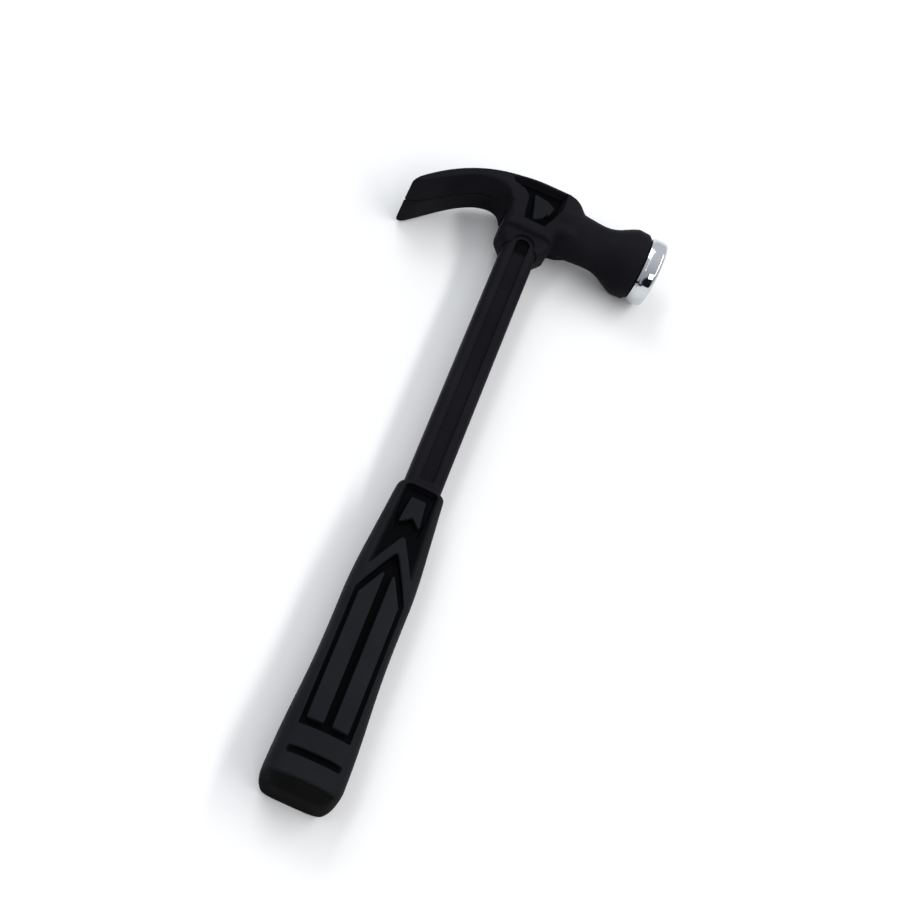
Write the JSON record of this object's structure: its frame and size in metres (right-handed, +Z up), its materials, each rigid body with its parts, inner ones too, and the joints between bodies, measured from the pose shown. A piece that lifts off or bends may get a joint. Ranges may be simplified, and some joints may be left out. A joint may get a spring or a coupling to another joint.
{
  "type": "claw hammer",
  "caption": "Full-size claw hammer lying on its side: black forged head with a bright striking face, fluted jacketed handle and ribbed moulded grip.",
  "frame": {"origin": "middle of the hammer's box in plan, on the surface it lies on", "axes": "+X out of the striking face, +Y along the handle from the butt to the head, +Z up out of the side of the hammer that faces up"},
  "size_m": [0.1228, 0.3388, 0.0336],
  "materials": {
    "coated_steel": "black hammered forging under a satin black coating",
    "bright_steel": "polished bright plating",
    "badge": "satin black moulding",
    "jacket": "satin black moulding",
    "grip": "fine matt moulded texture",
    "liner": "plain moulding",
    "core": "pulled fibreglass",
    "resin": "cast resin"
  },
  "bodies": {
    "root": {"forged_head": "coated_steel", "striking_face": "bright_steel", "cheek_badge_upper": "badge", "cheek_badge_lower": "badge", "eye_plug": "resin", "eye_bond": "resin", "core_bar": "core", "handle_jacket": "jacket", "grip_sleeve": "grip", "grip_liner": "liner", "grip_rib_upper_face_side": "grip", "grip_rib_upper_claw_side": "grip", "grip_rib_lower_face_side": "grip", "grip_rib_lower_claw_side": "grip", "grip_badge_upper": "badge", "grip_badge_lower": "badge"}
  },
  "joints": []
}
